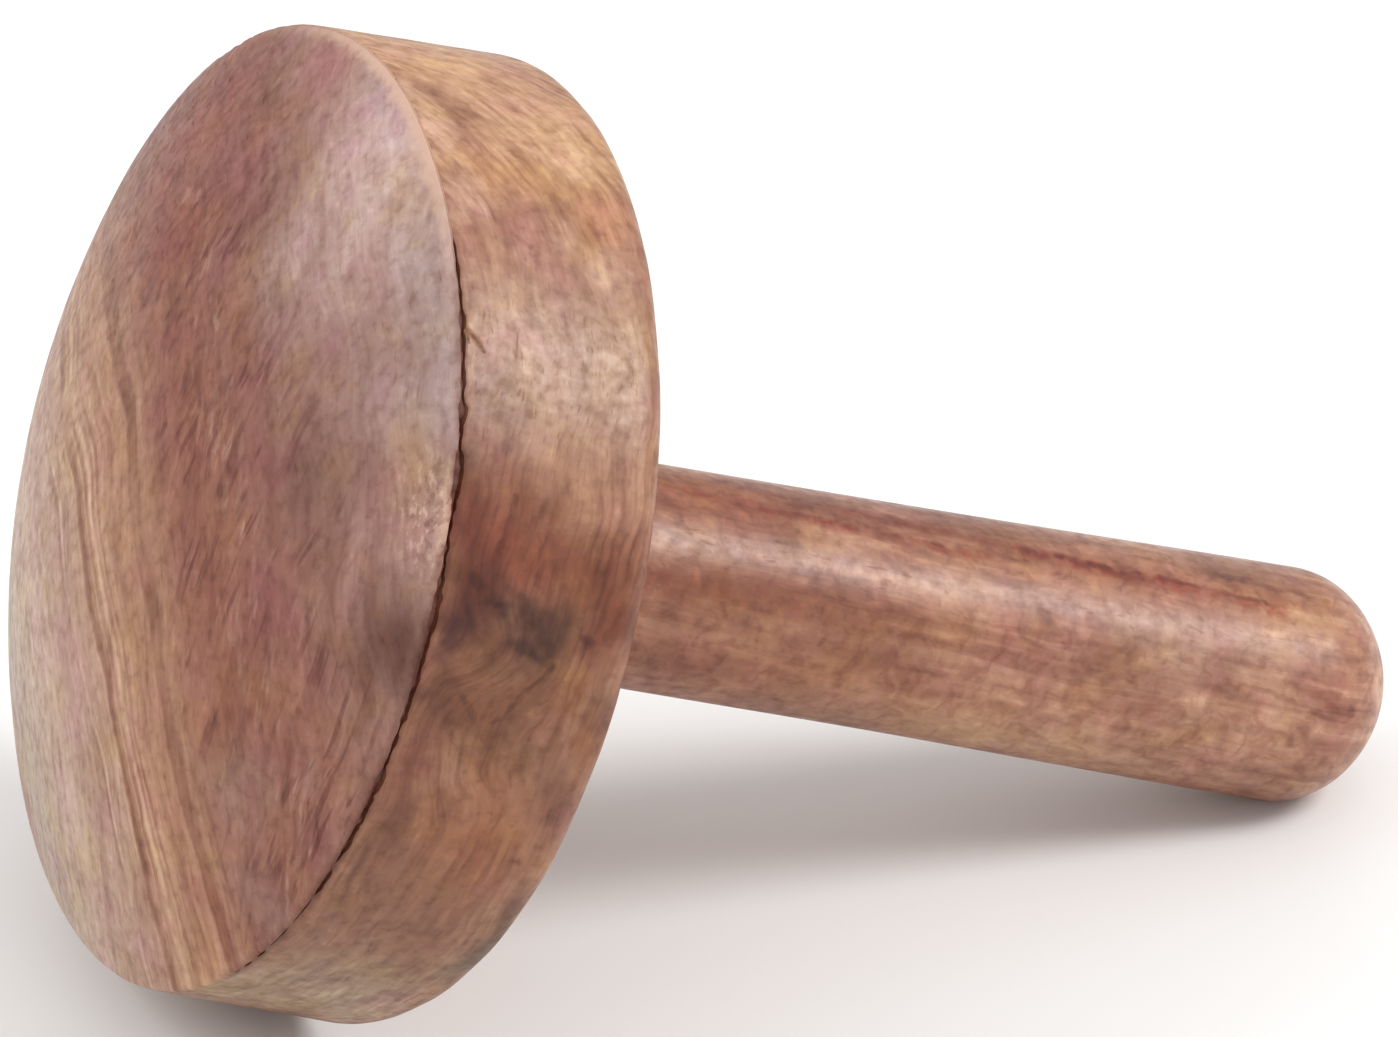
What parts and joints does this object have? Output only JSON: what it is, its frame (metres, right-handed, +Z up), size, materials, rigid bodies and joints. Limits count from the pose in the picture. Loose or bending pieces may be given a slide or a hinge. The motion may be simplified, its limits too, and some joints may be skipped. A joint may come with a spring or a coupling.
{
  "type": "mallet",
  "caption": "Hardwood mallet with a round disc head, a shallow domed striking face and a plain round handle standing square on the middle of the head's back.",
  "frame": {"origin": "on the bench surface, under the middle of the mallet's box as it lies on its side, resting on the head's back edge and the handle's end", "axes": "+X runs level along the mallet from the striking face to the handle's end, +Y is level across it, +Z is up; the turning axis lies in the XZ plane and dips 20.3 degrees towards the handle's end"},
  "size_m": [0.1848, 0.1278, 0.1291],
  "materials": {
    "face_wood": "satin oiled, reddish mauve-brown with open pores and darker stripes",
    "dark_glue": "matt dried glue, almost black",
    "backing_wood": "satin oiled, golden tan to brown with figured grain",
    "handle_wood": "satin oiled, reddish brown, straight grained, polished by the hand",
    "wedge_wood": "sawn, unfinished"
  },
  "bodies": {
    "root": {"face_block": "face_wood", "glue_line": "dark_glue", "backing_block": "backing_wood", "handle": "handle_wood", "tenon_wedge": "wedge_wood"}
  },
  "joints": []
}
